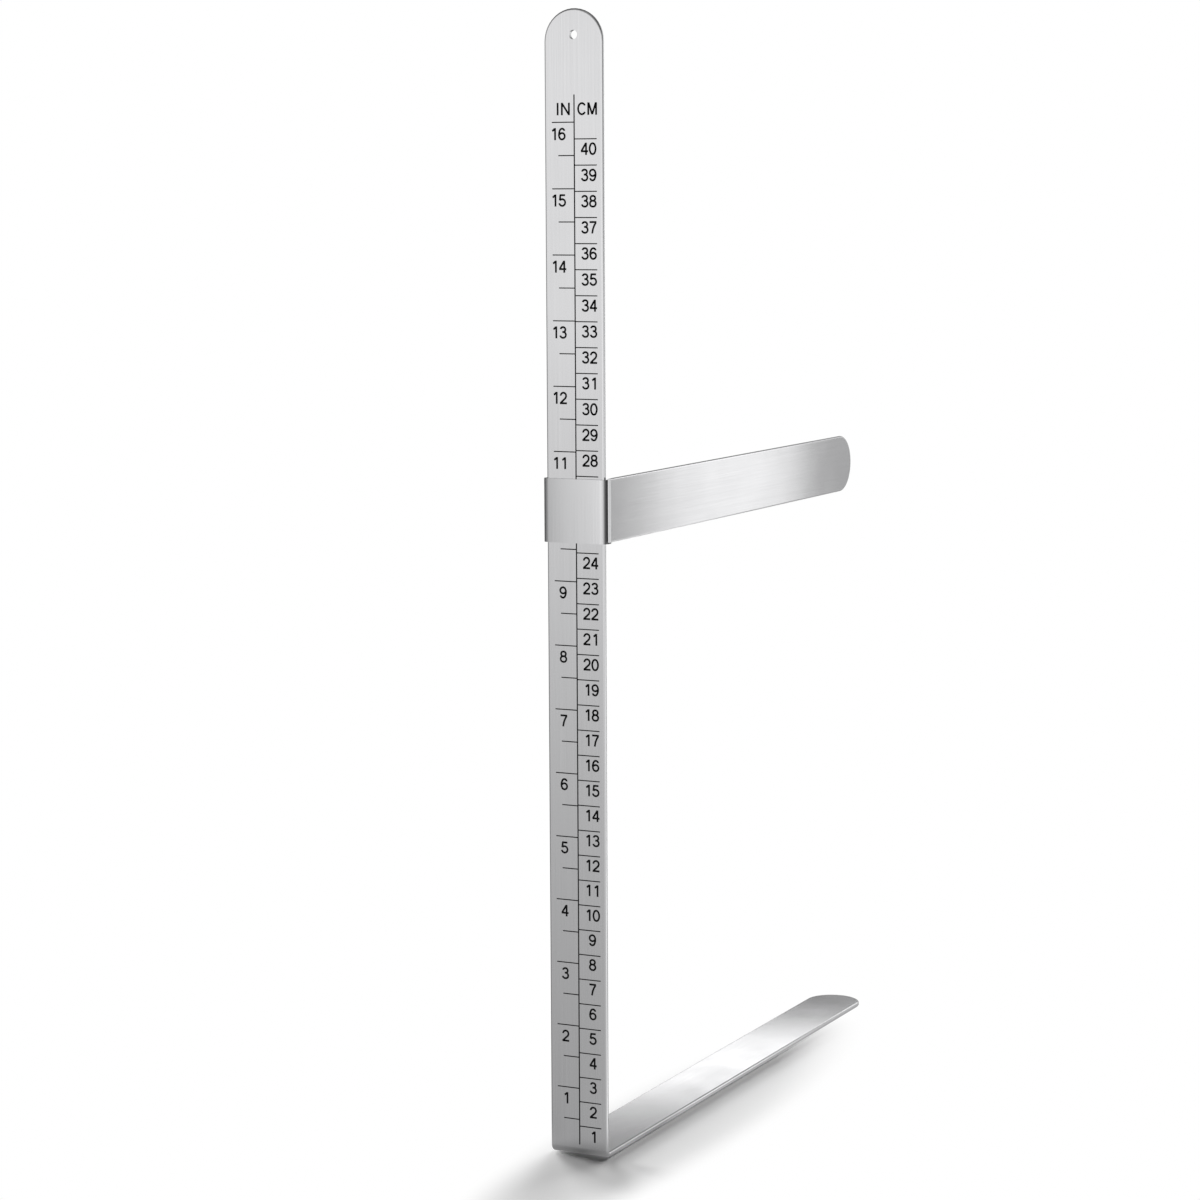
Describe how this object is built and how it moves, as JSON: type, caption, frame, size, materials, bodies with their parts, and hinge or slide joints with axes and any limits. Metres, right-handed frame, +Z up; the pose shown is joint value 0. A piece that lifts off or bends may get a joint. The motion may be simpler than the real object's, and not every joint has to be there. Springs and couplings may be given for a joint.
{
  "type": "body caliper",
  "caption": "Body thickness caliper: an upright graduated rule bent into a fixed arm, and a friction-held slider that carries a parallel sliding arm.",
  "frame": {"origin": "middle of the fixed arm's flat underside, on which the caliper stands", "axes": "+Z up along the rule, +Y from the rule to the tips of the arms, +X across the rule to the side of the sliding arm"},
  "size_m": [0.0293, 0.2835, 0.4516],
  "materials": {
    "rule_metal": "fine brushed satin, scale printed in black",
    "sleeve_metal": "fine brushed satin sheet",
    "arm_metal": "fine brushed satin",
    "spring_steel": "plain rolled spring leaf",
    "scale_ink": "printed black ink"
  },
  "bodies": {
    "rule": {"graduated_rule": "rule_metal"},
    "slider": {"slider_sleeve": "sleeve_metal", "sliding_arm": "arm_metal", "friction_spring": "spring_steel"}
  },
  "joints": [
    {"name": "slider_travel", "type": "slide", "parent": "rule", "child": "slider", "axis": [0, 0, 1], "range_m": [-0.2409, 0.1554]}
  ]
}
